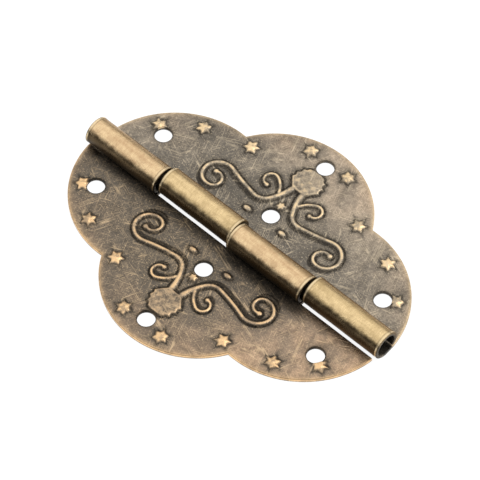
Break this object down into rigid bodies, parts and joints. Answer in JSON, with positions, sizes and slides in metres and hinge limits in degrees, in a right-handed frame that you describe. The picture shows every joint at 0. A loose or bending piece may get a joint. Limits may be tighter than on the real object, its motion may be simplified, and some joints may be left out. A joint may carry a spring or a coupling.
{
  "type": "cabinet hinge",
  "caption": "Pressed sheet butt hinge for a cabinet door or box lid: lobed leaves with raised scrolls and stars, screw holes, and knuckles rolled round a hidden pin.",
  "frame": {"origin": "middle of the hinge, under the pin, in the plane of the backs of the open leaves", "axes": "+Y along the pin, +X across to the outer edge of the fixed leaf, +Z out of the ornamented face"},
  "size_m": [0.0546, 0.07, 0.0056],
  "materials": {
    "leaf_brass": "antique brass, dark patina rubbed bright on raised ornament, edges and barrel",
    "pin_brass": "dull drawn wire"
  },
  "bodies": {
    "frame_side": {"fixed_leaf": "leaf_brass", "hinge_pin": "pin_brass"},
    "door_side": {"swing_leaf": "leaf_brass"}
  },
  "joints": [
    {"name": "leaf_swing", "type": "hinge", "parent": "frame_side", "child": "door_side", "pos_m": [0, 0, 0.00278], "axis": [0, 1, 0], "range_deg": [-65, 180]}
  ]
}
